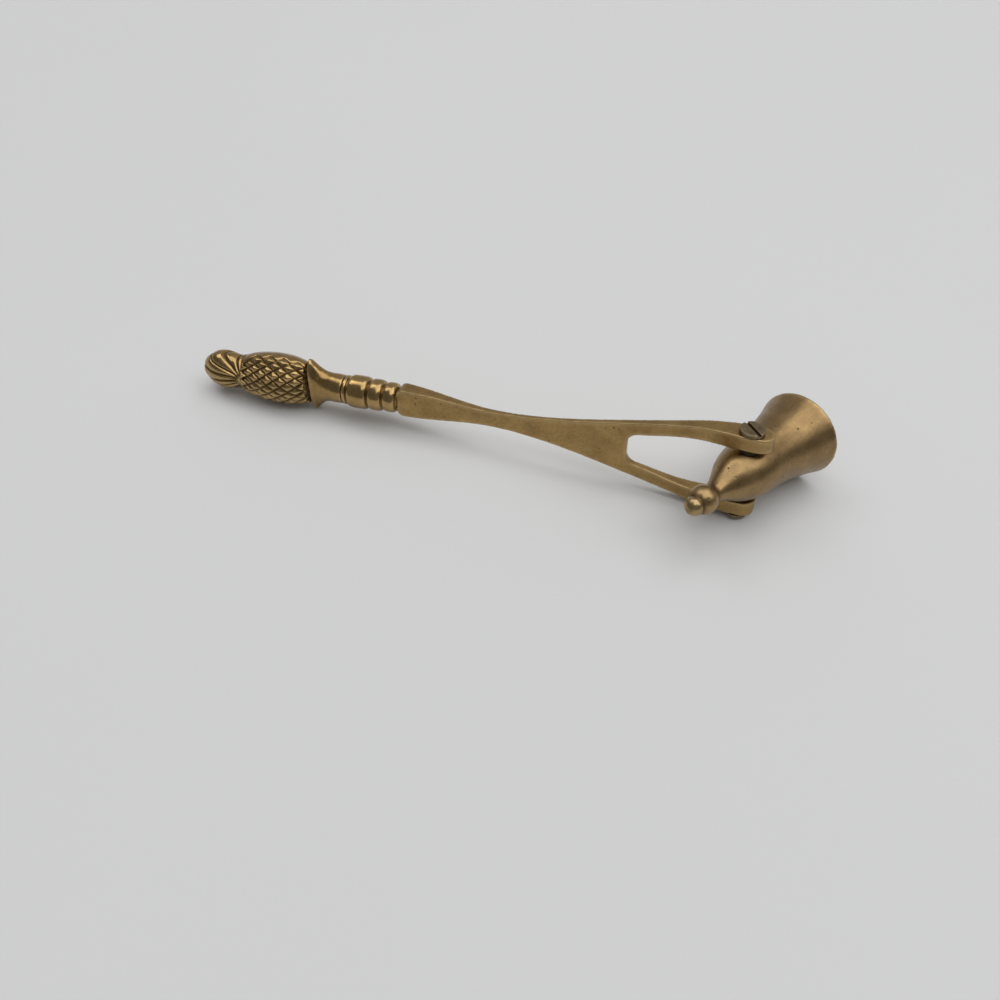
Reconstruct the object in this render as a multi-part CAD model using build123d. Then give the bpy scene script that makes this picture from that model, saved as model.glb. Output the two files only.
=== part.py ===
"""Brass candle snuffer: a cast pineapple handle whose fork carries a swinging bell on two pivot screws.

It is modelled about the pivot: x runs along the handle towards the fork, z along the pivot and y square to the
blade. The finished pieces are then laid down on a table, resting on the bell's rim, a screw head and the grip.
"""

from build123d import *
import math
import os

# Blade and fork, measured from the pivot back to the neck groove
blade_length = 136.0
blade_end_width = 12.0
blade_end_thickness = 6.2
blade_end_round = 3.0
waist_width = 6.8
waist_to_neck = 36.0
blade_thickness = 2.6
fork_root_width = 23.0
slot_length = 43.0
slot_root_width = 13.2
slot_root_round = 4.6
fork_gap = 26.6
eye_wall = 4.0
eye_depth = 10.0
eye_seat_length = 5.4
eye_overhang = 8.0
lower_eye_overhang = 6.2
blade_swell_shares = (0.42, 0.38)
fork_swell_shares = (0.58, 0.79)
blade_taper_shares = (0.42, 0.56)
arm_deepening_shares = (0.36, 0.54)
slot_bow_share = 0.72

# Turned neck of the grip: three beads and a thin ring, from the neck groove towards the crown
neck_groove_diameter = 8.4
bead_lengths = (5.8, 6.3, 8.9)
bead_diameters = (12.0, 12.7, 13.3)
bead_groove_diameters = (10.7, 11.3, 11.2)
ring_length = 2.2
ring_diameter = 11.7
ring_groove_diameter = 10.6

# Flared collar, pineapple and leaf crown of the grip, widths along z and depths along y
collar_length = 14.6
collar_width = 23.6
collar_depth = 8.6
collar_neck_diameter = 11.4
pineapple_length = 32.4
pineapple_width = 21.8
pineapple_depth = 18.4
crown_length = 16.2
crown_width = 16.8
crown_depth = 13.8
grip_cant = 3.3

# Diamond lattice on the pineapple's two faces and the grooves between the crown's leaves
diamond_length = 6.0
diamond_width = 4.9
lattice_groove_depth = 0.9
lattice_band = 2.0
lattice_edge = 2.6
pillow_sink = 0.12
pillow_share = 0.66
leaf_count = 9
leaf_spread = 150.0
leaf_root = 1.6
leaf_groove_width = 1.3
leaf_groove_depth = 0.8
leaf_start = 3.0
leaf_bend_share = 0.7
cutter_height_share = 2.2
reach_rounds = 40

# Each section of the grip: place along its piece, then its width and depth as shares of that piece
collar_section_shares = ((0.20, 0.81, 1.02), (0.38, 0.61, 1.09), (0.56, 0.525, 1.19), (0.78, 0.51, 1.31))
pineapple_section_shares = (
    (0.00, 0.77, 0.56),
    (0.08, 0.86, 0.73),
    (0.20, 0.95, 0.91),
    (0.42, 1.00, 1.00),
    (0.64, 0.945, 0.965),
    (0.80, 0.84, 0.87),
    (0.92, 0.71, 0.76),
    (1.00, 0.66, 0.70),
)
crown_section_shares = ((0.20, 0.95, 0.97), (0.44, 1.00, 1.00), (0.68, 0.88, 0.87), (0.87, 0.62, 0.62))
crown_tip_shares = (0.975, 0.30, 0.30)

# Bell, measured along its axis from the pivot: the finial is behind it and the mouth in front
mouth_diameter = 32.8
mouth_reach = 33.2
rim_wall = 1.1
body_diameter = 23.2
body_reach = 12.0
pivot_diameter = 21.5
bell_wall = 2.1
pivot_wall = 3.2
cavity_depth = 42.0
neck_diameter = 7.6
neck_reach = 17.4
ball_diameter = 10.8
ball_reach = 22.6
button_diameter = 7.4
button_length = 3.1
button_groove = 0.35
bell_swing = 61.6
flare_shares = (0.47, 0.35)
shoulder_shares = ((0.74, 0.23), (0.42, 0.67))

# Pivot screws and the collars between the arms and the bell
screw_head_diameter = 9.0
screw_head_height = 1.9
screw_head_round = 0.4
screw_slot_width = 1.3
screw_slot_depth = 1.2
screw_slot_turn = 33.0
shank_diameter = 5.0
shank_bite = 2.2
pivot_collar_diameter = 7.8
seat_depth = 0.6

# Clearances, and the overrun of every cut
running_clearance = 0.05
side_clearance = 0.15
thread_clearance = 0.02
cut_overrun = 1.0

# The search for the resting plane
rest_rounds = 6

# Turn that carries the upper screw to the lower arm
half_turn = 180.0

eye_inside = fork_gap / 2
eye_outside = eye_inside + eye_wall
seat_height = pivot_diameter / 2 - seat_depth
head_height = eye_outside + side_clearance
collar_start = -blade_length - sum(bead_lengths) - ring_length
pineapple_start = collar_start - collar_length
crown_start = pineapple_start - pineapple_length


def blade_edge(side):
    """Outer edge of the blade on one side, from the neck groove to the end of the fork."""
    waist = waist_to_neck - blade_length
    root_rise = (fork_root_width - waist_width) / 2
    eye_rise = eye_outside - fork_root_width / 2
    swell_along, swell_rise = blade_swell_shares
    fork_along, fork_rise = fork_swell_shares
    places = [
        (-blade_length + blade_end_round, blade_end_width / 2),
        (waist, waist_width / 2),
        (waist + (-slot_length - waist) * (1 - swell_along), waist_width / 2 + root_rise * swell_rise),
        (-slot_length, fork_root_width / 2),
        (-slot_length + (slot_length - eye_seat_length) * fork_along, fork_root_width / 2 + eye_rise * fork_rise),
        (-eye_seat_length, eye_outside),
    ]
    curve = Spline(*[(x, side * z) for x, z in places], tangents=[(1, 0), (1, 0)])
    return curve + Line((-eye_seat_length, side * eye_outside), (eye_overhang, side * eye_outside))


def blade_plan():
    """Face of the blade and fork seen square on, with the slot still closed."""
    start = -blade_length + blade_end_round
    corner = blade_end_width / 2 - blade_end_round
    closing = CenterArc((start, corner), blade_end_round, half_turn / 2, half_turn / 2)
    closing += Line((-blade_length, corner), (-blade_length, -corner))
    closing += CenterArc((start, -corner), blade_end_round, half_turn, half_turn / 2)
    tip = Line((eye_overhang, eye_outside), (eye_overhang, -eye_outside))
    return make_face(blade_edge(1) + tip + blade_edge(-1) + closing)


def slot_plan():
    """Face of the slot between the arms, open past the arms' ends."""
    root = slot_root_width / 2
    end = eye_overhang + cut_overrun
    slope = slot_bow_share * (eye_inside - root) / (slot_length - eye_seat_length)
    edges = Curve()
    for side in (1, -1):
        edges += Spline(
            (-slot_length, side * root), (-eye_seat_length, side * eye_inside), tangents=[(1, side * slope), (1, 0)]
        )
        edges += Line((-eye_seat_length, side * eye_inside), (end, side * eye_inside))
    edges += Line((-slot_length, root), (-slot_length, -root))
    edges += Line((end, eye_inside), (end, -eye_inside))
    face = make_face(edges)
    return fillet(face.vertices().group_by(Axis.X)[0], slot_root_round)


def blade_side():
    """Face of the blade seen from its edge: thick at the neck, thin along the web, deep and round at the eyes."""
    half_end = blade_end_thickness / 2
    half_web = blade_thickness / 2
    half_eye = eye_depth / 2
    eye_centre = eye_overhang - half_eye
    taper_along, taper_rise = blade_taper_shares
    deep_along, deep_rise = arm_deepening_shares
    places = [
        (-blade_length, half_end),
        (-blade_length + waist_to_neck * taper_along, half_web + (half_end - half_web) * taper_rise),
        (waist_to_neck - blade_length, half_web),
        (-slot_length, half_web),
        (-slot_length * deep_along, half_web + (half_eye - half_web) * (1 - deep_rise)),
        (0, half_eye),
    ]
    edges = Curve()
    for side in (1, -1):
        edges += Spline(*[(x, side * y) for x, y in places], tangents=[(1, 0), (1, 0)])
        edges += Line((0, side * half_eye), (eye_centre, side * half_eye))
    edges += Line((-blade_length, half_end), (-blade_length, -half_end))
    edges += ThreePointArc((eye_centre, half_eye), (eye_overhang, 0), (eye_centre, -half_eye))
    return make_face(edges)


def lower_end_trim():
    """Cut that leaves the lower arm a little shorter than the upper one, with the same round end."""
    half = eye_depth / 2
    centre = lower_eye_overhang - half
    beyond = eye_overhang + cut_overrun
    block = Pos((centre + beyond) / 2, 0) * Rectangle(beyond - centre, eye_depth + cut_overrun)
    return extrude(block - Pos(centre, 0) * Circle(half), -(eye_outside + cut_overrun))


def blade_and_fork():
    """Blade and fork: the plan and the side outline cut to each other, with the slot and the eyes' bores."""
    plan = Plane.XZ * blade_plan()
    slot = Plane.XZ * slot_plan()
    body = extrude(plan, eye_depth, both=True) & extrude(blade_side(), eye_outside + cut_overrun, both=True)
    body -= extrude(slot, eye_depth, both=True)
    body -= lower_end_trim()
    bore = Cylinder(shank_diameter / 2 + running_clearance, 2 * (eye_outside + cut_overrun))
    return body - bore


def turned_neck():
    """Three beads and the thin ring, turned about x, from the neck groove to the collar."""
    lengths = (*bead_lengths, ring_length)
    tops = (*bead_diameters, ring_diameter)
    grooves = (neck_groove_diameter, *bead_groove_diameters, ring_groove_diameter)
    place = -blade_length
    edges = Line((place, 0), (place, grooves[0] / 2))
    for length, top, groove, next_groove in zip(lengths, tops, grooves, grooves[1:]):
        end = place - length
        edges += ThreePointArc((place, groove / 2), (place - length / 2, top / 2), (end, next_groove / 2))
        place = end
    edges += Line((place, grooves[-1] / 2), (place, 0))
    edges += Line((place, 0), (-blade_length, 0))
    return revolve(make_face(edges), Axis.X)


def oval(place, width, depth):
    """Section of the grip across x."""
    return Plane(origin=(place, 0, 0), x_dir=(0, 1, 0), z_dir=(1, 0, 0)) * Ellipse(depth / 2, width / 2)


def collar():
    """Fish-tail collar, from the thin ring to its wide edge against the pineapple."""
    sections = [oval(pineapple_start, collar_width, collar_depth)]
    for along, width, depth in collar_section_shares:
        sections.append(oval(pineapple_start + collar_length * along, collar_width * width, collar_depth * depth))
    sections.append(oval(collar_start, collar_neck_diameter, collar_neck_diameter))
    return loft(sections)


def pineapple_sections():
    """Place, width and depth of each section of the pineapple, from the collar to the crown."""
    return [
        (pineapple_start - pineapple_length * along, pineapple_width * width, pineapple_depth * depth)
        for along, width, depth in pineapple_section_shares
    ]


def crown_sections():
    """Place, width and depth of each section of the crown, from its waist on the pineapple to the tip."""
    sections = pineapple_sections()[-1:]
    for along, width, depth in (*crown_section_shares, crown_tip_shares):
        sections.append((crown_start - crown_length * along, crown_width * width, crown_depth * depth))
    return sections


def fruit():
    """Pineapple and crown in one, before they are carved, with a rounded tip."""
    body = loft([oval(*section) for section in pineapple_sections() + crown_sections()[1:]])
    tip = body.faces().sort_by(Axis.X)[0]
    return fillet(tip.edges(), crown_length * (1 - crown_tip_shares[0]))


def half_section(sections, x):
    """Half width and half depth of a lofted form at x, between its sections."""
    for (near, near_width, near_depth), (far, far_width, far_depth) in zip(sections, sections[1:]):
        if x >= far:
            share = (near - x) / (near - far)
            return (near_width + (far_width - near_width) * share) / 2, (near_depth + (far_depth - near_depth) * share) / 2
    return far_width / 2, far_depth / 2


def below_face(sections, x, z, depth):
    """Point under the front face of a lofted form, sunk by a depth all round its section."""
    half_width, half_depth = half_section(sections, x)
    rise = max(0, 1 - (z / (half_width - depth)) ** 2) ** 0.5
    return Vector(x, -(half_depth - depth) * rise, z)


def groove_cutter(path, width, depth):
    """V-shaped cutter whose edge follows the path, with the given width at the given depth above its edge."""
    run = path @ 1 - path @ 0
    side = run.cross(Vector(0, 1, 0)).normalized()
    lift = cutter_height_share * depth
    half = cutter_height_share * width / 2
    profile = Polyline((0, 0), (half, lift), (-half, lift), close=True)
    return sweep(Plane(origin=path @ 0, x_dir=side, z_dir=path % 0) * make_face(profile), path)


def lattice_cells():
    """Places of the lattice's diamonds, counted in half diamonds along x and z, that lie inside its bands."""
    sections = pineapple_sections()
    columns = int((pineapple_length - 2 * lattice_band) / (diamond_length / 2))
    rows = int(pineapple_width / diamond_width)
    cells = []
    for column in range(1, columns):
        half_width, _ = half_section(sections, lattice_x(column))
        for row in range(-rows, rows + 1):
            reach = abs(row) * diamond_width / 2
            if (column + row) % 2 and reach < half_width - lattice_edge:
                cells.append((column, row))
    return cells


def lattice_x(column):
    """Place along x of a column of half diamonds, counted from the collar."""
    return pineapple_start - lattice_band - column * diamond_length / 2


def diamond_faces(cell):
    """Facets of one raised diamond: its corners lie in the grooves, and its pillow under the pineapple's face."""
    sections = pineapple_sections()
    column, row = cell
    centre = Vector(lattice_x(column), 0, row * diamond_width / 2)
    low = []
    high = []
    for along, across in ((-1, 0), (0, 1), (1, 0), (0, -1)):
        corner = Vector(lattice_x(column + along), 0, (row + across) * diamond_width / 2)
        rim = centre + (corner - centre) * pillow_share
        low.append(below_face(sections, corner.X, corner.Z, lattice_groove_depth))
        high.append(below_face(sections, rim.X, rim.Z, pillow_sink))
    top = below_face(sections, centre.X, centre.Z, pillow_sink / 2)
    facets = []
    for turn in range(4):
        after = (turn + 1) % 4
        facets.append((low[turn], low[after], high[after]))
        facets.append((low[turn], high[after], high[turn]))
        facets.append((high[turn], high[after], top))
    return facets


def lattice_border(cells):
    """Corners of the lattice's outline, in order, counted in half diamonds."""
    steps = {}
    for column, row in cells:
        corners = [(column - 1, row), (column, row + 1), (column + 1, row), (column, row - 1)]
        for turn in range(4):
            steps[corners[turn], corners[(turn + 1) % 4]] = True
    follow = {start: end for start, end in steps if (end, start) not in steps}
    border = [min(follow)]
    while len(border) < len(follow):
        border.append(follow[border[-1]])
    return border


def lattice_cutter():
    """Negative of the diamonds on the front face, open towards the front."""
    sections = pineapple_sections()
    cells = lattice_cells()
    facets = [facet for cell in cells for facet in diamond_faces(cell)]
    border = [Vector(lattice_x(column), 0, row * diamond_width / 2) for column, row in lattice_border(cells)]
    sunk = [below_face(sections, corner.X, corner.Z, lattice_groove_depth) for corner in border]
    outside = [Vector(corner.X, -pineapple_depth, corner.Z) for corner in border]
    for turn in range(len(border)):
        facets.append((sunk[turn], sunk[turn - 1], outside[turn - 1], outside[turn]))
    facets.append(outside)
    return Solid(Shell([Face(Wire.make_polygon(facet, close=True)) for facet in facets]))


def leaf_cutters():
    """Cutters that fan out from the crown's root, between its leaves, on the front face."""
    sections = crown_sections()
    root = sections[0][0] + leaf_root
    cutters = []
    for gap in range(leaf_count - 1):
        turn = math.radians(leaf_spread * ((gap + 0.5) / (leaf_count - 1) - 0.5))
        reach = leaf_reach(sections, root, turn)
        points = []
        for share, sink in ((0, 0), (leaf_bend_share, leaf_groove_depth), (1, leaf_groove_depth)):
            out = leaf_start + (reach - leaf_start) * share
            points.append(below_face(sections, root - out * math.cos(turn), out * math.sin(turn), sink))
        cutters.append(groove_cutter(ThreePointArc(*points), leaf_groove_width, leaf_groove_depth))
    return cutters


def leaf_reach(sections, root, turn):
    """How far a ray from the crown's root runs before it leaves the crown's outline, sunk by the groove's depth."""
    tip = sections[-1][0]
    low = 0
    high = root - tip
    for _ in range(reach_rounds):
        out = (low + high) / 2
        x = root - out * math.cos(turn)
        inside = x > tip + leaf_groove_depth
        inside = inside and abs(out * math.sin(turn)) < half_section(sections, x)[0] - leaf_groove_depth
        low, high = (out, high) if inside else (low, out)
    return low


def carved_fruit():
    """Pineapple and crown with the diamonds and the leaves carved into both faces."""
    cutters = [lattice_cutter(), *leaf_cutters()]
    return fruit() - cutters - [mirror(cutter, Plane.XZ) for cutter in cutters]


def canted(body):
    """A body of the grip turned a little off the blade's line, about the neck groove."""
    groove = Pos(-blade_length, 0, 0)
    return groove * Rot(0, 0, grip_cant) * groove.inverse() * body


def grip():
    """Grip in one: beads, collar, pineapple and crown."""
    return canted(turned_neck() + collar() + carved_fruit())


def bell_outline():
    """Outer and inner outline of the bell, turned about x with the mouth towards +x."""
    ball_half = ball_diameter / 2
    neck_half = neck_diameter / 2
    button_half = button_diameter / 2
    pivot_half = pivot_diameter / 2
    body_half = body_diameter / 2
    mouth_half = mouth_diameter / 2
    ball_start = -ball_reach - (ball_half**2 - button_half**2) ** 0.5
    ball_end = -ball_reach + (ball_half**2 - neck_half**2) ** 0.5
    groove_end = ball_start - button_groove
    tip = ball_start - button_length
    flare_along, flare_rise = flare_shares
    shoulder = [(-neck_reach * along, neck_half + (pivot_half - neck_half) * rise) for along, rise in shoulder_shares]
    flare = (body_reach + (mouth_reach - body_reach) * flare_along, body_half + (mouth_half - body_half) * flare_rise)
    button = (tip + groove_end) / 2
    groove = (groove_end, button_half - button_groove)
    edges = Spline((tip, 0), (button, button_half), groove, tangents=[(0, 1), (1, -1)])
    edges += Line(groove, (ball_start, button_half))
    edges += ThreePointArc((ball_start, button_half), (-ball_reach, ball_half), (ball_end, neck_half))
    outside = [(-neck_reach, neck_half), *shoulder, (0, pivot_half), (body_reach, body_half), flare]
    edges += Line((ball_end, neck_half), (-neck_reach, neck_half))
    edges += Spline(*outside, (mouth_reach, mouth_half))
    edges += Line((mouth_reach, mouth_half), (mouth_reach, mouth_half - rim_wall))
    cavity_end = mouth_reach - cavity_depth
    inside = [(flare[0], flare[1] - bell_wall), (body_reach, body_half - bell_wall)]
    edges += Spline((mouth_reach, mouth_half - rim_wall), *inside, (0, pivot_half - pivot_wall), (cavity_end, 0))
    edges += Line((cavity_end, 0), (tip, 0))
    return edges


def bell():
    """Bell with its ball finial, with two flat seats and two screw holes across the pivot."""
    body = revolve(make_face(bell_outline()), Axis.X)
    hole = Cylinder(shank_diameter / 2 + thread_clearance, pivot_diameter + cut_overrun)
    body -= hole
    for side in (1, -1):
        rise = Pos(0, 0, side * (seat_height + pivot_diameter / 2))
        body -= rise * Cylinder(pivot_collar_diameter / 2 + side_clearance, pivot_diameter)
    return Rot(0, 0, bell_swing) * body


def pivot_screw(side):
    """Slotted cheese-head screw through one eye into the bell's wall."""
    tip = seat_height - shank_bite
    shank = Pos(0, 0, (tip + head_height) / 2) * Cylinder(shank_diameter / 2, head_height - tip)
    head = Pos(0, 0, head_height + screw_head_height / 2) * Cylinder(screw_head_diameter / 2, screw_head_height)
    head = fillet(head.edges().sort_by(Axis.Z)[-1], screw_head_round)
    top = head_height + screw_head_height
    slot = Pos(0, 0, top) * Box(screw_head_diameter + cut_overrun, screw_slot_width, 2 * screw_slot_depth)
    screw = shank + head - Rot(0, 0, screw_slot_turn) * slot
    return screw if side > 0 else screw.rotate(Axis.X, half_turn)


def pivot_collar(side):
    """Plain ring on the screw's shank, between the bell's seat and the arm."""
    length = eye_inside - side_clearance - seat_height
    ring = Cylinder(pivot_collar_diameter / 2, length)
    ring -= Cylinder(shank_diameter / 2 + running_clearance, length + cut_overrun)
    return Pos(0, 0, side * (seat_height + length / 2)) * ring


def resting_plane(bodies):
    """Plane that touches three bodies from below, found by turning it step by step to their lowest points."""
    up = Vector(0, 0, 1)
    span = 2 * (blade_length + collar_length + pineapple_length + crown_length)
    points = []
    for _ in range(rest_rounds):
        floor = Face.make_rect(2 * span, 2 * span, Plane(origin=up * -span, z_dir=up))
        points = [floor.distance_to_with_closest_points(body)[2] for body in bodies]
        up = (points[1] - points[0]).cross(points[2] - points[0]).normalized()
    along = Vector(1, 0, 0) - up * up.X
    return Plane(origin=points[0], x_dir=along, z_dir=up)


def loose_pieces():
    """Every piece of the snuffer by its name, about the pivot."""
    return {
        "handle_casting": blade_and_fork() + grip(),
        "bell": bell(),
        "pivot_screw_upper": pivot_screw(1),
        "pivot_screw_lower": pivot_screw(-1),
        "pivot_collar_upper": pivot_collar(1),
        "pivot_collar_lower": pivot_collar(-1),
    }


def table_place(made):
    """Where the snuffer lies: on its contacts, with the bottom centre of its box at the origin."""
    contacts = [canted(fruit() + collar()), made["pivot_screw_lower"], made["bell"]]
    lay = resting_plane(contacts).location.inverse()
    box = Compound([lay * piece for piece in made.values()]).bounding_box()
    return Pos(-box.center().X, -box.center().Y, -box.min.Z) * lay


def main():
    os.makedirs("parts", exist_ok=True)
    made = loose_pieces()
    place = table_place(made)
    for name, piece in made.items():
        export_step(place * piece, f"parts/{name}.step")


if __name__ == "__main__":
    main()
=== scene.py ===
"""Dresses the brass candle snuffer: worn cast brass, darker pivot fittings, a pale floor and soft light."""

import bmesh
import bpy
import numpy as np
from mathutils import Matrix, Vector

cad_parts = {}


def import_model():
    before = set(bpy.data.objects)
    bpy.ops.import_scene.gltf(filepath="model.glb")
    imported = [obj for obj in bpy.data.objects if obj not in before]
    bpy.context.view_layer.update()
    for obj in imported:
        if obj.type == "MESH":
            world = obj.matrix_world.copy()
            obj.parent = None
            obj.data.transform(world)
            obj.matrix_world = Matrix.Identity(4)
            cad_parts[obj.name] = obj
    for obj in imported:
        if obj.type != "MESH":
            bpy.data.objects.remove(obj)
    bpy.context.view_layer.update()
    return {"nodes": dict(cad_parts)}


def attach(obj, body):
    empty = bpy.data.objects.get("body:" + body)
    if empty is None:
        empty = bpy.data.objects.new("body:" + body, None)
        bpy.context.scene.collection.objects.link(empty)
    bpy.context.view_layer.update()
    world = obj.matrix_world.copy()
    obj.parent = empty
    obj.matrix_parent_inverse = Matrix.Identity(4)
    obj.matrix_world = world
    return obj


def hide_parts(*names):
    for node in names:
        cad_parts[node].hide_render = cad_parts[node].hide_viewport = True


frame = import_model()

MM = 0.001

# Camera, in millimetres of the row frame
EYE = (88.05, -234.38, 264.09)
FORWARD = (-0.2232, 0.5946, -0.7724)
UP = (-0.2528, 0.7300, 0.6350)
LENS = 32.4
SENSOR = 36.0
NEAR_CLIP = 0.01

# The handle's own frame in the row frame: the pivot in millimetres, then x along the handle towards the fork,
# y square to the blade and z along the pivot. The bell's axis runs from its finial to its mouth
PIVOT = (95.714, -5.008, 19.753)
HANDLE_AXES = ((0.998834, 0.0, 0.048267),
               (0.006955, 0.989564, -0.143926),
               (-0.047763, 0.144094, 0.988411))
BELL_AXIS = (0.481188, 0.870469, -0.103648)

# Fineness of the remeshed pieces, how far their edges are rounded, and how grooves and edges (for wear and a
# painted edge highlight) are measured:
# rounds of smoothing, then the depth and height in millimetres that count as full
BLADE_DEPTH = 9
BELL_DEPTH = 8
GRID_SHARE = 0.9
BELL_GRID_SHARE = 0.72
FITTING_DEPTH = 6
EDGE_ROUNDS = 2
GRIP_ROUNDS = 1
HOLLOW_ROUNDS = 34
DEPTH_ROUNDS = 2
FULL_GROOVE = 0.16
FULL_EDGE = 0.22

# Fits to the photograph, in millimetres of the handle's frame: eyes, screw heads, pivot collars and button
EYE_PLACES = (-43.0, -29.5, -21.2, -5.4, 8.0)
EYE_INSIDES = (6.6, 9.3, 11.1, 13.3, 13.3)
EYE_OUTSIDES = (11.5, 14.6, 16.1, 17.3, 17.3)
EYE_INWARD = 1.5
EYE_OUTWARD = 0.35
EYE_RUN = (-28.0, -6.0)
EYE_MARGIN = 1.0
EYE_DEPTH_SHARE = 0.84
HEAD_PLACE = 17.4
HEAD_RISE = 0.4
HEAD_SHARE = 0.74
SLOT_TURN = -83.0
RING_PLACE = 10.15
RING_SHARE = 0.5
BUTTON_PLACE = -26.7
BUTTON_STRETCH = 0.55
BUTTON_TAPER = 0.82

# Grip, in millimetres of the handle's frame. A bead has a length, a diameter and a roundness, and a section has
# its share of the length, a width and a depth. Both run from the blade to the tip
NECK_PLACE = -136.0
NECK_CUT = 0.05
BEADS = ((5.8, 12.0, 3.0), (6.3, 12.7, 3.0), (8.9, 13.3, 5.0), (2.2, 11.7, 3.0))
BEAD_GROOVES = (8.4, 9.9, 10.4, 10.2, 10.0)
GROOVE_FLOOR = 0.25
COLLAR_LENGTH = 14.6
COLLAR_SECTIONS = ((0.0, 11.4, 11.4), (0.22, 12.0, 11.3), (0.44, 12.4, 10.2), (0.62, 14.4, 9.4),
                   (0.80, 19.1, 8.8), (0.97, 23.3, 8.6), (1.0, 23.0, 8.2))
COLLAR_GAP = 1.0
GAP_WIDTH = 15.0
GAP_DEPTH = 7.6
FRUIT_LENGTH = 32.4
FRUIT_SECTIONS = ((0.04, 17.6, 11.8), (0.08, 18.8, 13.4), (0.20, 20.7, 16.7), (0.42, 21.8, 18.4),
                  (0.64, 20.6, 17.8), (0.80, 18.3, 16.0), (0.92, 15.5, 14.0), (1.0, 14.4, 12.9))
CROWN_LENGTH = 16.2
CROWN_SECTIONS = ((0.20, 16.0, 13.4), (0.44, 16.8, 13.8), (0.68, 14.8, 12.0), (0.87, 10.4, 8.6))
CROWN_CAP = 0.80
CAP_STEPS = 24
TIP_SHARE = 0.002
GRIP_CANT = 3.3
STATION_STEP = 0.24
BEAD_STEPS = 6
ROUND_STEPS = 240
SINK_LIMIT = 0.45

# Diamonds on the pineapple, in millimetres and degrees: their size, how many half rows each face has to either
# side, how deep a pillow is sunk from its groove to its top, and how far the outer rows are worn down
DIAMOND_LENGTH = 6.0
FRONT_ROWS = 7
BACK_ROWS = 4
ROW_TURN = 12.57
LATTICE_TURN = -4.0
LATTICE_BAND = 1.5
PILLOW_SHARES = (0.0, 0.22, 0.75, 1.0)
PILLOW_SINKS = (1.25, 0.72, 0.20, 0.08)
BORDER_SHARE = 0.24
WORN_TURNS = (58.0, 80.0)
WORN_SHARE = 0.6

# Leaves of the crown: grooves that fan out from a root on each face
LEAF_ROOT = 4.6
LEAF_TURN = 20.0
LEAF_SPREAD = 75.0
LEAF_FADE = 12.0
LEAF_START = (1.0, 4.5)
LEAF_BEND = 0.35
LEAF_WIDTH = 0.8
LEAF_DEPTH = 0.6
LEAF_RIDGE = 0.2

# Colours, linear
BRASS = (0.415, 0.268, 0.102, 1.0)
BRASS_BROWN = (0.285, 0.180, 0.068, 1.0)
# Lighter brass on the edges: worn brass, and also a painted highlight along them
BRASS_WORN_AND_HIGHLIGHT = (0.50, 0.36, 0.175, 1.0)
BELL_BRASS = (0.315, 0.204, 0.092, 1.0)
BELL_BROWN = (0.215, 0.137, 0.060, 1.0)
TARNISH = (0.13, 0.094, 0.052, 1.0)
GRIME = (0.050, 0.028, 0.010, 1.0)
STEEL = (0.22, 0.165, 0.098, 1.0)
STEEL_WORN = (0.36, 0.285, 0.18, 1.0)
# The collar: the screws' dark steel, painted much darker with the shade that falls between arm and bell
COLLAR_STEEL_PAINTED_SHADE = (0.055, 0.040, 0.026, 1.0)
FLOOR = (0.78, 0.785, 0.79, 1.0)

# Wear of the brass, with the painted highlight on its edges: sizes in millimetres, and the range of the noise
# that each takes with what it gives
PATCH_SIZE, PATCH_RANGE = 9.0, (0.35, 0.7)
SPECKLE_SIZE, SPECKLE_RANGE = 1.1, (0.42, 0.75, 0.0, 0.4)
# Rubbed edges: real wear, and a painted highlight along the edges
RUB_HIGHLIGHT_SIZE, RUB_HIGHLIGHT_RANGE = 2.5, (0.3, 0.6, 0.4, 0.8)
DIRT_SIZE, DIRT_RANGE = 1.6, (0.25, 0.55, 0.6, 1.0)
PIT_SPACING, PIT_RANGE = 3.4, (0.06, 0.13, 1.0, 0.0)
PIT_FIELD_SIZE, PIT_FIELD_RANGE = 14.0, (0.47, 0.56)
PIT_DARKNESS = 0.8
PIT_DEPTH = 0.12
GLOSS_SIZE = 3.0
NOISE_RANGE = (0.3, 0.7)
DIRT_ROUGHNESS = 0.3
DENT_SIZE, DENT_DEPTH = 4.0, 0.04
GRAIN_SIZE, GRAIN_DEPTH = 0.7, 0.02
SCRATCH_SIZE, SCRATCH_DEPTH = 0.5, 0.012
SCRATCH_STRETCH = (0.06, 1.0, 1.0)
FINE, MIDDLE, DENT_DETAIL, COARSE = 6.0, 5.0, 3.0, 2.0
BUTTON_TARNISH = 0.8
TARNISH_RUN = (-1.0, 0.5)
HANDLE_GRIME = 0.95
BELL_GRIME = 0.8
GRIP_GLOSS = (0.15, 0.27)
BLADE_GLOSS = (0.28, 0.40)
BELL_GLOSS = (0.27, 0.40)

# Dark fittings and the floor
BLOOM_SIZE, BLOOM_RANGE, BLOOM_SHARE = 1.8, (0.35, 0.7), 0.6
FITTING_WEAR = 0.4
FITTING_GLOSS_SIZE, FITTING_GLOSS = 1.2, (0.38, 0.55)
CAST_SIZE, CAST_DEPTH = 0.6, 0.03
FLOOR_HALF = 4.0
FLOOR_PATCH, FLOOR_TINT = 400.0, 0.98
FLOOR_ROUGHNESS = 0.75

# Brightness of the room in front and behind, then each lamp's place and size in metres and its face's brightness
ROOM_FRONT = 0.19
ROOM_BACK = 0.44
ROOM_RUN = (0.0, 0.7)
ROOM_TINT = (1.0, 0.99, 0.97, 1.0)
LAMPS = {"ceiling": ((0.5, 0.3, 3.0), 3.4, 1.22),
         "window": ((-1.5, 0.55, 2.05), 1.0, 1.8),
         "side": ((2.2, 0.4, 2.1), 1.4, 0.8)}


def points_of(mesh):
    """The mesh's points as an array, three numbers to a row."""
    flat = np.empty(len(mesh.vertices) * 3)
    mesh.vertices.foreach_get("co", flat)
    return flat.reshape(-1, 3)


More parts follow.
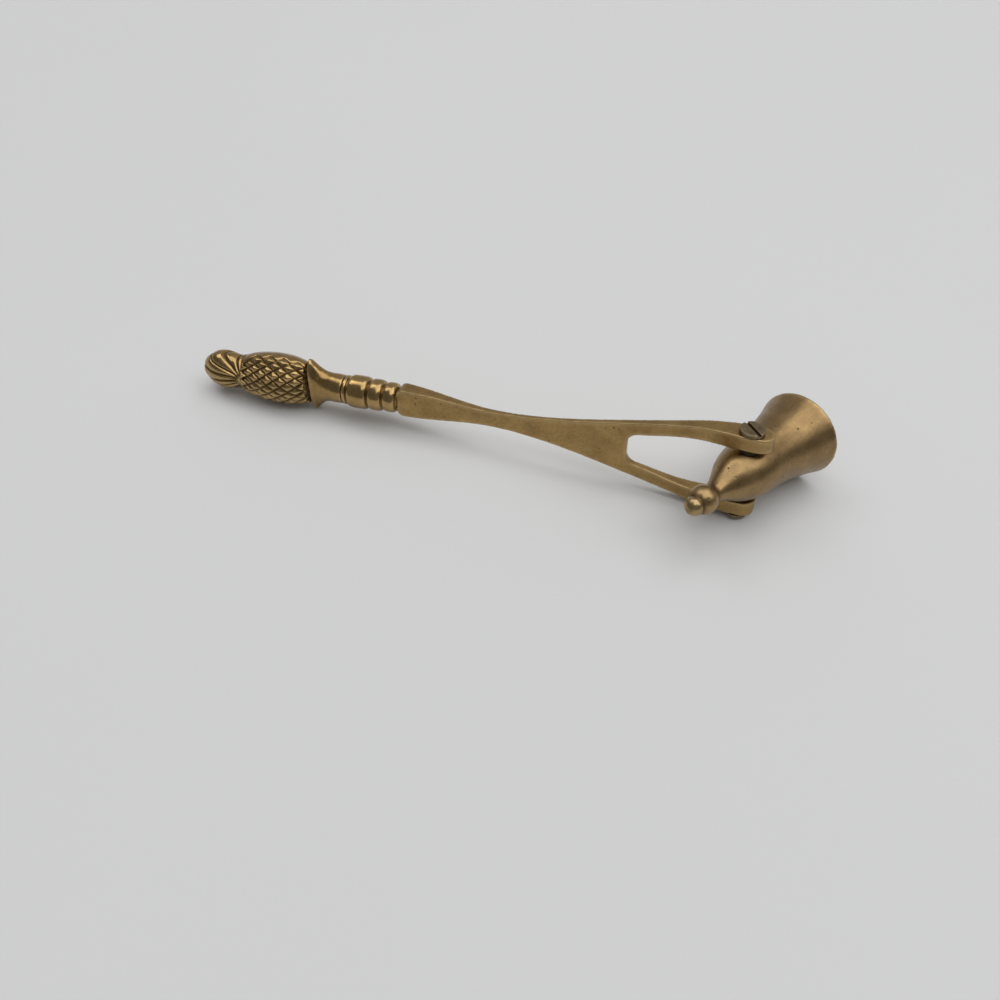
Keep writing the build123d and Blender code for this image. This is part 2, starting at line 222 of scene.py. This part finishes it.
def normals_of(mesh):
    """The mesh's point normals as an array."""
    flat = np.empty(len(mesh.vertices) * 3)
    mesh.vertices.foreach_get("normal", flat)
    return flat.reshape(-1, 3)


def edges_of(mesh):
    """The mesh's edges as pairs of point numbers."""
    flat = np.empty(len(mesh.edges) * 2, np.int64)
    mesh.edges.foreach_get("vertices", flat)
    return flat.reshape(-1, 2)


def averaged(values, edges, rounds):
    """Values on the points, each evened out with its neighbours this many times."""
    wide = values.reshape(len(values), -1).copy()
    count = np.bincount(edges.ravel(), minlength=len(wide)).astype(float)
    for _ in range(rounds):
        total = np.zeros_like(wide)
        for column in range(wide.shape[1]):
            total[:, column] += np.bincount(edges[:, 0], wide[edges[:, 1], column], len(wide))
            total[:, column] += np.bincount(edges[:, 1], wide[edges[:, 0], column], len(wide))
        wide = 0.5 * wide + 0.5 * total / count[:, None]
    return wide.reshape(values.shape)


def store(mesh, name, values):
    """Keeps one number per point on the mesh, for its material to read."""
    layer = mesh.attributes.new(name, "FLOAT", "POINT")
    layer.data.foreach_set("value", values.astype(np.float32))


def copy_of(node, name):
    """A new piece with a copy of a CAD node's mesh."""
    piece = bpy.data.objects.new(name, frame["nodes"][node].data.copy())
    bpy.context.scene.collection.objects.link(piece)
    return piece


def evened(piece, depth, grid_share):
    """Gives a piece a fine, even mesh."""
    remesh = piece.modifiers.new("even", "REMESH")
    remesh.mode = "SHARP"
    remesh.octree_depth = depth
    remesh.scale = grid_share
    remesh.use_remove_disconnected = False
    seen = piece.evaluated_get(bpy.context.evaluated_depsgraph_get())
    even = bpy.data.meshes.new_from_object(seen)
    piece.modifiers.clear()
    piece.data = even


def hollows(mesh, edges, rounds):
    """How far each point lies below the smoothed surface round it, in millimetres: above zero in a groove."""
    points = points_of(mesh)
    smooth = averaged(points, edges, rounds)
    depth = ((smooth - points) * normals_of(mesh)).sum(1) / MM
    return averaged(depth, edges, DEPTH_ROUNDS)


def soften(piece, rounds):
    """Rounds the edges of a piece and measures its grooves and its edges, where wear and a painted edge highlight
    go.
    """
    mesh = piece.data
    edges = edges_of(mesh)
    softened = averaged(points_of(mesh), edges, rounds)
    mesh.vertices.foreach_set("co", softened.ravel())
    mesh.update()
    depth = hollows(mesh, edges, HOLLOW_ROUNDS)
    store(mesh, "groove", np.clip(depth / FULL_GROOVE, 0.0, 1.0))
    store(mesh, "edge", np.clip(-depth / FULL_EDGE, 0.0, 1.0))
    mesh.polygons.foreach_set("use_smooth", np.ones(len(mesh.polygons), bool))


def in_handle(points):
    """Row-frame points in metres, carried to the handle's frame in millimetres."""
    return (points / MM - np.array(PIVOT)) @ np.array(HANDLE_AXES).T


def in_row(points):
    """Handle-frame points in millimetres, carried back to the row frame in metres."""
    return (points @ np.array(HANDLE_AXES) + np.array(PIVOT)) * MM


def smoothstep(values, low, high):
    """Zero below low, one above high and smooth between."""
    share = np.clip((values - low) / (high - low), 0.0, 1.0)
    return share * share * (3.0 - 2.0 * share)


def through(places, values, at):
    """Smooth curve through values at rising places."""
    slopes = np.gradient(values, places)
    span = np.clip(np.searchsorted(places, at) - 1, 0, len(places) - 2)
    run = places[span + 1] - places[span]
    share = (at - places[span]) / run
    rest = 1.0 - share
    ends = values[span] * rest * rest * (1 + 2 * share) + values[span + 1] * share * share * (1 + 2 * rest)
    return ends + run * share * rest * (slopes[span] * rest - slopes[span + 1] * share)


def bead_stations():
    """Stations of the turned beads: distance from the blade, width and depth."""
    rows = []
    place = 0.0
    for (length, top, roundness), low, high in zip(BEADS, BEAD_GROOVES, BEAD_GROOVES[1:]):
        for share in np.linspace(0.0, 1.0, int(length / STATION_STEP) + BEAD_STEPS):
            along = (1.0 - np.cos(np.pi * share)) / 2.0
            swell = np.clip(abs(2.0 * along - 1.0) / (1.0 - 2.0 * GROOVE_FLOOR / length), 0.0, 1.0)
            bulge = np.sqrt(1.0 - swell ** roundness)
            groove = low + (high - low) * along
            across = groove + (top - groove) * bulge
            rows.append((place + length * along, across, across))
        place += length
    return rows, place


def section_stations(sections, start, length):
    """Stations through a table of sections: distance from the blade, width and depth."""
    table = np.array(sections)
    first, last = table[0, 0], table[-1, 0]
    at = np.linspace(first, last, int(length * (last - first) / STATION_STEP))
    widths = through(table[:, 0], table[:, 1], at)
    depths = through(table[:, 0], table[:, 2], at)
    return list(zip(start + length * at, widths, depths))


def grip_stations():
    """All stations of the grip, from the blade to the tip, and the places where pineapple and crown start."""
    rows, place = bead_stations()
    rows += section_stations(COLLAR_SECTIONS, place, COLLAR_LENGTH)
    fruit = place + COLLAR_LENGTH
    rows += [(fruit, GAP_WIDTH, GAP_DEPTH), (fruit + COLLAR_GAP, GAP_WIDTH, GAP_DEPTH)]
    crown = fruit + FRUIT_LENGTH
    sections = [(share * FRUIT_LENGTH, width, depth) for share, width, depth in FRUIT_SECTIONS]
    sections += [(FRUIT_LENGTH + share * CROWN_LENGTH, width, depth) for share, width, depth in CROWN_SECTIONS]
    rows += section_stations(sections, fruit, 1.0)
    last_share, last_width, last_depth = CROWN_SECTIONS[-1]
    first = np.arcsin((last_share - CROWN_CAP) / (1.0 - CROWN_CAP))
    for turn in np.linspace(first, np.pi / 2.0, CAP_STEPS)[1:]:
        share = CROWN_CAP + (1.0 - CROWN_CAP) * np.sin(turn)
        close = max(np.cos(turn) / np.cos(first), TIP_SHARE)
        rows.append((crown + share * CROWN_LENGTH, last_width * close, last_depth * close))
    return np.array(rows), fruit, crown


def diamonds(along, turn, rows):
    """Depth of the diamond carving at places along the pineapple and turns round it, in degrees."""
    column = (along - LATTICE_BAND) / (DIAMOND_LENGTH / 2.0)
    row = (turn - LATTICE_TURN) / ROW_TURN
    first = (column + row) / 2.0
    second = (column - row) / 2.0
    columns = int((FRUIT_LENGTH - 2.0 * LATTICE_BAND) / (DIAMOND_LENGTH / 2.0))

    def inside(one, two):
        return (one + two >= 0) & (one + two + 1 < columns) & (abs(one - two) < rows)

    one, two = np.floor(first), np.floor(second)
    near = first - one, second - two
    edge = np.minimum(np.minimum(near[0], 1.0 - near[0]), np.minimum(near[1], 1.0 - near[1]))
    carved = np.interp(2.0 * edge, PILLOW_SHARES, PILLOW_SINKS)
    border = np.zeros_like(carved)
    beside = ((-1, 0, near[0]), (1, 0, 1.0 - near[0]), (0, -1, near[1]), (0, 1, 1.0 - near[1]))
    for step_one, step_two, gap in beside:
        wall = PILLOW_SINKS[0] * np.clip(1.0 - gap / BORDER_SHARE, 0.0, 1.0)
        border = np.maximum(border, np.where(inside(one + step_one, two + step_two), wall, 0.0))
    worn = 1.0 - WORN_SHARE * smoothstep(np.abs(turn), *WORN_TURNS)
    return worn * np.where(inside(one, two), carved, border)


def leaves(along, across):
    """Depth of the crown's carving at places along it from its root and across its face."""
    out = np.hypot(along, across)
    turn = np.degrees(np.arctan2(across, along))
    bent = turn * (1.0 + LEAF_BEND * np.clip(out / CROWN_LENGTH, 0.0, 1.0))
    gap = np.mod(bent, LEAF_TURN) - LEAF_TURN / 2.0
    beside = out * np.sin(np.radians(np.abs(gap)))
    groove = LEAF_DEPTH * np.clip(1.0 - beside / LEAF_WIDTH, 0.0, 1.0)
    crest = LEAF_RIDGE * (1.0 - np.abs(gap) / (LEAF_TURN / 2.0))
    fan = smoothstep(out, *LEAF_START)
    fan = fan * (1.0 - smoothstep(np.abs(turn), LEAF_SPREAD, LEAF_SPREAD + LEAF_FADE))
    return np.where(along > -LEAF_ROOT, fan * (groove + crest), 0.0)


def grip_points():
    """Points of the carved grip in the handle's frame, one row of points to each station."""
    stations, fruit, crown = grip_stations()
    turn = np.linspace(0.0, 2.0 * np.pi, ROUND_STEPS, endpoint=False)[None, :]
    place, width, depth = (stations[:, k][:, None] for k in range(3))
    degrees = np.degrees(np.arctan2(np.sin(turn), np.cos(turn)))
    behind = np.degrees(np.arctan2(np.sin(turn), -np.cos(turn)))
    front = diamonds(place - fruit, degrees, FRONT_ROWS)
    sink = np.maximum(front, diamonds(place - fruit, behind, BACK_ROWS))
    across = width / 2.0 * np.sin(turn)
    sink = np.maximum(sink, leaves(place - crown + LEAF_ROOT, across))
    sink = np.minimum(sink, SINK_LIMIT * depth)
    x = -np.broadcast_to(place, sink.shape)
    y = -(depth / 2.0 - sink) * np.cos(turn)
    z = (width / 2.0 - sink) * np.sin(turn)
    cant = np.radians(GRIP_CANT)
    turned_x = x * np.cos(cant) - y * np.sin(cant) + NECK_PLACE
    turned_y = x * np.sin(cant) + y * np.cos(cant)
    return np.stack([turned_x, turned_y, z], 2)


def grip(material):
    """The carved grip: beads, ring, collar, pineapple and crown in one skin, closed at both ends."""
    points = grip_points()
    stations, steps, _ = points.shape
    number = np.arange(stations * steps).reshape(stations, steps)
    following = np.roll(number, -1, 1)
    quads = np.stack([number[:-1], following[:-1], following[1:], number[1:]], 2).reshape(-1, 4)
    mesh = bpy.data.meshes.new("grip_cast")
    faces = quads.tolist() + [number[0, ::-1].tolist(), number[-1].tolist()]
    mesh.from_pydata(in_row(points.reshape(-1, 3)).tolist(), [], faces)
    piece = bpy.data.objects.new("grip_cast", mesh)
    bpy.context.scene.collection.objects.link(piece)
    finished(piece, material, "handle", GRIP_ROUNDS)


def blade_alone(piece):
    """Cuts the CAD grip off a copy of the handle, at the groove behind the blade."""
    cut = bmesh.new()
    cut.from_mesh(piece.data)
    place = in_row(np.array([(NECK_PLACE + NECK_CUT, 0.0, 0.0)]))[0]
    everything = cut.verts[:] + cut.edges[:] + cut.faces[:]
    made = bmesh.ops.bisect_plane(cut, geom=everything, plane_co=place, plane_no=HANDLE_AXES[0],
                                  clear_inner=True)
    rim = [part for part in made["geom_cut"] if isinstance(part, bmesh.types.BMEdge)]
    bmesh.ops.holes_fill(cut, edges=rim)
    cut.to_mesh(piece.data)
    cut.free()


def finished(piece, material, body, rounds):
    """Rounds a piece's edges, paints it and makes it ride on its body."""
    soften(piece, rounds)
    piece.data.materials.clear()
    piece.data.materials.append(material)
    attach(piece, body)


def thick_eyes(points):
    """The fork's eyes as the photograph has them: thicker inwards and a little less deep."""
    x, y, z = points.T
    inner = np.interp(x, EYE_PLACES, EYE_INSIDES)
    outer = np.interp(x, EYE_PLACES, EYE_OUTSIDES)
    across = np.clip((np.abs(z) - inner) / (outer - inner), 0.0, 1.0)
    shift = EYE_INWARD * (across - 1.0) + EYE_OUTWARD * across
    toward = smoothstep(x, *EYE_RUN)
    low = np.where(np.abs(z) > inner - EYE_MARGIN, np.sign(z) * shift * toward, 0.0)
    return np.stack([x, y * (1.0 - (1.0 - EYE_DEPTH_SHARE) * toward), z + low], 1)


def turned_head(points):
    """A screw with a lower head, its slot turned as in the photograph."""
    x, y, z = points.T
    turn = np.radians(SLOT_TURN)
    high = np.maximum(np.abs(z) - HEAD_PLACE, 0.0)
    height = np.minimum(np.abs(z), HEAD_PLACE) + np.where(high > 0.0, HEAD_RISE + high * HEAD_SHARE, 0.0)
    turned_x = x * np.cos(turn) - y * np.sin(turn)
    turned_y = x * np.sin(turn) + y * np.cos(turn)
    return np.stack([turned_x, turned_y, np.sign(z) * height], 1)


def short_ring(points):
    """A pivot collar that ends at the thicker eye."""
    x, y, z = points.T
    place = RING_PLACE + (np.abs(z) - RING_PLACE) * RING_SHARE
    return np.stack([x, y, np.sign(z) * place], 1)


def bell_axis():
    """The bell's axis in the handle's frame, from its finial to its mouth."""
    return np.array(HANDLE_AXES) @ np.array(BELL_AXIS)


def long_button(points):
    """The bell with a longer acorn button at the end of its finial."""
    axis = bell_axis()
    along = points @ axis
    beyond = np.minimum(along - BUTTON_PLACE, 0.0)
    stem = along[:, None] * axis
    narrow = np.sqrt(1.0 - BUTTON_TAPER * np.clip(beyond / beyond.min(), 0.0, 1.0) ** 2)
    return stem + (points - stem) * narrow[:, None] + (BUTTON_STRETCH * beyond)[:, None] * axis


def tarnish_button(bell):
    """Marks the button at the end of the finial as darker than the rest of the bell."""
    past = in_handle(points_of(bell.data)) @ bell_axis() - BUTTON_PLACE
    store(bell.data, "tarnish", BUTTON_TARNISH * (1.0 - smoothstep(past, *TARNISH_RUN)))


def reshaped(piece, fit):
    """Moves a piece's points by a fit in the handle's frame."""
    points = in_row(fit(in_handle(points_of(piece.data))))
    piece.data.vertices.foreach_set("co", points.ravel())
    piece.data.update()


def dressed(node, name, depth, material, body, fit, trim=None, grid_share=GRID_SHARE):
    """Replaces a CAD node by a finished piece, after cutting and fitting it."""
    piece = copy_of(node, name)
    if trim:
        trim(piece)
    evened(piece, depth, grid_share)
    reshaped(piece, fit)
    finished(piece, material, body, EDGE_ROUNDS)
    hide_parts(node)
    return piece


class Nodes:
    """Short ways to add and join shader nodes."""

    def __init__(self, name):
        self.material = bpy.data.materials.new(name)
        self.material.use_nodes = True
        self.tree = self.material.node_tree
        self.shader = self.tree.nodes["Principled BSDF"]
        self.place = self.add("ShaderNodeTexCoord").outputs["Object"]

    def add(self, kind, **settings):
        made = self.tree.nodes.new(kind)
        for key, value in settings.items():
            setattr(made, key, value)
        return made

    def join(self, source, target):
        self.tree.links.new(source, target)

    def noise(self, size, detail=4.0, stretch=None):
        """Soft noise whose patches are about this many millimetres across."""
        made = self.add("ShaderNodeTexNoise")
        made.inputs["Scale"].default_value = 1.0 / (size * MM)
        made.inputs["Detail"].default_value = detail
        source = self.place
        if stretch:
            mapping = self.add("ShaderNodeMapping")
            mapping.inputs["Scale"].default_value = stretch
            self.join(source, mapping.inputs["Vector"])
            source = mapping.outputs["Vector"]
        self.join(source, made.inputs["Vector"])
        return made.outputs["Fac"]

    def spots(self, size):
        """Distance to the middle of scattered cells this many millimetres apart."""
        made = self.add("ShaderNodeTexVoronoi")
        made.inputs["Scale"].default_value = 1.0 / (size * MM)
        self.join(self.place, made.inputs["Vector"])
        return made.outputs["Distance"]

    def stored(self, name):
        """A number kept on the mesh."""
        return self.add("ShaderNodeAttribute", attribute_name=name).outputs["Fac"]

    def ramp(self, source, low, high, start=0.0, end=1.0):
        """The source's range from low to high, spread over start to end."""
        made = self.add("ShaderNodeMapRange")
        for key, value in (("From Min", low), ("From Max", high), ("To Min", start), ("To Max", end)):
            made.inputs[key].default_value = value
        self.join(source, made.inputs["Value"])
        return made.outputs["Result"]

    def maths(self, operation, first, second):
        made = self.add("ShaderNodeMath", operation=operation)
        for socket, value in zip(made.inputs, (first, second)):
            if isinstance(value, (int, float)):
                socket.default_value = value
            else:
                self.join(value, socket)
        return made.outputs["Value"]

    def mixed(self, share, first, second):
        """A colour between two others."""
        made = self.add("ShaderNodeMix", data_type="RGBA")
        self.join(share, made.inputs["Factor"])
        for key, value in (("A_Color", first), ("B_Color", second)):
            socket = next(s for s in made.inputs if s.identifier == key)
            if isinstance(value, tuple):
                socket.default_value = value
            else:
                self.join(value, socket)
        return next(s for s in made.outputs if s.identifier == "Result_Color")

    def bump(self, heights):
        """Joins (height, depth in millimetres) pairs into one normal."""
        normal = None
        for height, depth in heights:
            made = self.add("ShaderNodeBump")
            made.inputs["Distance"].default_value = depth * MM
            self.join(height, made.inputs["Height"])
            if normal:
                self.join(normal, made.inputs["Normal"])
            normal = made.outputs["Normal"]
        self.join(normal, self.shader.inputs["Normal"])


def brass(name, clean, brown, grime_share, gloss):
    """Old cast brass: brown patches, dark grooves, rubbed edges lightened also as a painted edge highlight, pits
    and fine scratches.
    """
    nodes = Nodes(name)
    patches = nodes.ramp(nodes.noise(PATCH_SIZE, FINE), *PATCH_RANGE)
    colour = nodes.mixed(patches, clean, brown)
    speckle = nodes.ramp(nodes.noise(SPECKLE_SIZE, FINE), *SPECKLE_RANGE)
    colour = nodes.mixed(nodes.maths("MAXIMUM", speckle, nodes.stored("tarnish")), colour, TARNISH)
    # Edges lightened: rubbed wear, and a painted highlight along them
    rubbed_and_highlit = nodes.maths("MULTIPLY", nodes.stored("edge"), nodes.ramp(nodes.noise(RUB_HIGHLIGHT_SIZE), *RUB_HIGHLIGHT_RANGE))
    colour = nodes.mixed(rubbed_and_highlit, colour, BRASS_WORN_AND_HIGHLIGHT)
    dirt = nodes.maths("MULTIPLY", nodes.stored("groove"), nodes.ramp(nodes.noise(DIRT_SIZE), *DIRT_RANGE))
    dirt = nodes.maths("MULTIPLY", dirt, grime_share)
    pits = nodes.ramp(nodes.spots(PIT_SPACING), *PIT_RANGE)
    pits = nodes.maths("MULTIPLY", pits, nodes.ramp(nodes.noise(PIT_FIELD_SIZE), *PIT_FIELD_RANGE))
    dark = nodes.maths("MAXIMUM", dirt, nodes.maths("MULTIPLY", pits, PIT_DARKNESS))
    colour = nodes.mixed(dark, colour, GRIME)
    nodes.join(colour, nodes.shader.inputs["Base Color"])
    nodes.shader.inputs["Metallic"].default_value = 1.0
    rough = nodes.ramp(nodes.noise(GLOSS_SIZE, MIDDLE), *NOISE_RANGE, *gloss)
    rough = nodes.maths("ADD", rough, nodes.maths("MULTIPLY", dark, DIRT_ROUGHNESS))
    nodes.join(rough, nodes.shader.inputs["Roughness"])
    scratches = nodes.noise(SCRATCH_SIZE, COARSE, SCRATCH_STRETCH)
    nodes.bump([(nodes.noise(DENT_SIZE, DENT_DETAIL), DENT_DEPTH), (nodes.noise(GRAIN_SIZE, COARSE), GRAIN_DEPTH),
                (scratches, SCRATCH_DEPTH), (nodes.maths("MULTIPLY", pits, -1.0), PIT_DEPTH)])
    return nodes.material


def fitting(name, colour, worn):
    """Dark fittings: dark metal with brown bloom and brighter edges; the collar's extra darkness is painted
    shade.
    """
    nodes = Nodes(name)
    bloom = nodes.ramp(nodes.noise(BLOOM_SIZE, MIDDLE), *BLOOM_RANGE)
    shade = nodes.mixed(bloom, colour, scaled(colour, BLOOM_SHARE))
    shade = nodes.mixed(nodes.maths("MULTIPLY", nodes.stored("edge"), FITTING_WEAR), shade, worn)
    shade = nodes.mixed(nodes.stored("groove"), shade, GRIME)
    nodes.join(shade, nodes.shader.inputs["Base Color"])
    nodes.shader.inputs["Metallic"].default_value = 1.0
    rough = nodes.ramp(nodes.noise(FITTING_GLOSS_SIZE), *NOISE_RANGE, *FITTING_GLOSS)
    nodes.join(rough, nodes.shader.inputs["Roughness"])
    nodes.bump([(nodes.noise(CAST_SIZE, DENT_DETAIL), CAST_DEPTH)])
    return nodes.material


def scaled(colour, share):
    """A colour made darker by a share."""
    return tuple(share * part for part in colour[:3]) + (1.0,)


def floor():
    """The pale sheet that the snuffer lies on."""
    mesh = bpy.data.meshes.new("floor")
    half = FLOOR_HALF
    corners = [(-half, -half, 0), (half, -half, 0), (half, half, 0), (-half, half, 0)]
    mesh.from_pydata(corners, [], [(0, 1, 2, 3)])
    sheet = bpy.data.objects.new("floor", mesh)
    bpy.context.scene.collection.objects.link(sheet)
    nodes = Nodes("pale_sheet")
    tint = nodes.ramp(nodes.noise(FLOOR_PATCH, COARSE), *NOISE_RANGE)
    nodes.join(nodes.mixed(tint, FLOOR, scaled(FLOOR, FLOOR_TINT)), nodes.shader.inputs["Base Color"])
    nodes.shader.inputs["Roughness"].default_value = FLOOR_ROUGHNESS
    mesh.materials.append(nodes.material)


def world():
    """A dim room: darker in front and at the sides, where the picture was taken from, than behind."""
    room = bpy.data.worlds.new("room")
    bpy.context.scene.world = room
    room.use_nodes = True
    tree = room.node_tree
    place = tree.nodes.new("ShaderNodeTexCoord")
    split = tree.nodes.new("ShaderNodeSeparateXYZ")
    tree.links.new(place.outputs["Generated"], split.inputs["Vector"])
    depth = tree.nodes.new("ShaderNodeMapRange")
    depth.interpolation_type = "SMOOTHSTEP"
    tree.links.new(split.outputs["Y"], depth.inputs["Value"])
    for key, value in zip(("From Min", "From Max", "To Min", "To Max"), (*ROOM_RUN, ROOM_FRONT, ROOM_BACK)):
        depth.inputs[key].default_value = value
    tree.links.new(depth.outputs["Result"], tree.nodes["Background"].inputs["Strength"])
    tree.nodes["Background"].inputs["Color"].default_value = ROOM_TINT


def lamp(name, place, size, radiance):
    """A soft square lamp that looks at the snuffer, whose face has this brightness."""
    light = bpy.data.lights.new(name, "AREA")
    light.size = size
    light.energy = 4.0 * size * size * radiance
    holder = bpy.data.objects.new(name, light)
    bpy.context.scene.collection.objects.link(holder)
    holder.location = place
    holder.rotation_euler = (-Vector(place)).to_track_quat("-Z", "Y").to_euler()


def camera():
    """The camera at the photograph's viewing angle."""
    lens = bpy.data.cameras.new("camera")
    lens.lens = LENS
    lens.sensor_width = SENSOR
    lens.clip_start = NEAR_CLIP
    holder = bpy.data.objects.new("camera", lens)
    bpy.context.scene.collection.objects.link(holder)
    back = -Vector(FORWARD).normalized()
    right = Vector(UP).cross(back).normalized()
    up = back.cross(right)
    turn = Matrix((right, up, back)).transposed().to_4x4()
    holder.matrix_world = Matrix.Translation(Vector(EYE) * MM) @ turn
    bpy.context.scene.camera = holder


camera()
floor()
world()
for lamp_name, settings in LAMPS.items():
    lamp(lamp_name, *settings)
bpy.context.scene.view_settings.view_transform = "Standard"

grip_brass = brass("grip_brass_aged", BRASS, BRASS_BROWN, HANDLE_GRIME, GRIP_GLOSS)
blade_brass = brass("blade_brass_aged", BRASS, BRASS_BROWN, HANDLE_GRIME, BLADE_GLOSS)
bell_brass = brass("bell_brass_aged", BELL_BRASS, BELL_BROWN, BELL_GRIME, BELL_GLOSS)
screw_metal = fitting("screw_dark", STEEL, STEEL_WORN)
# The collar's near-black colour is the screws' steel with painted shade
collar_metal_painted_shade = fitting("collar_steel_painted_shade", COLLAR_STEEL_PAINTED_SHADE, STEEL)

dressed("handle_casting", "blade_cast", BLADE_DEPTH, blade_brass, "handle", thick_eyes,
        blade_alone)
grip(grip_brass)
bell_cast = dressed("bell", "bell_cast", BELL_DEPTH, bell_brass, "bell", long_button,
                    grid_share=BELL_GRID_SHARE)
tarnish_button(bell_cast)
for side in ("upper", "lower"):
    dressed("pivot_screw_" + side, "screw_" + side, FITTING_DEPTH, screw_metal, "bell",
            turned_head)
    dressed("pivot_collar_" + side, "collar_" + side, FITTING_DEPTH, collar_metal_painted_shade, "bell",
            short_ring)
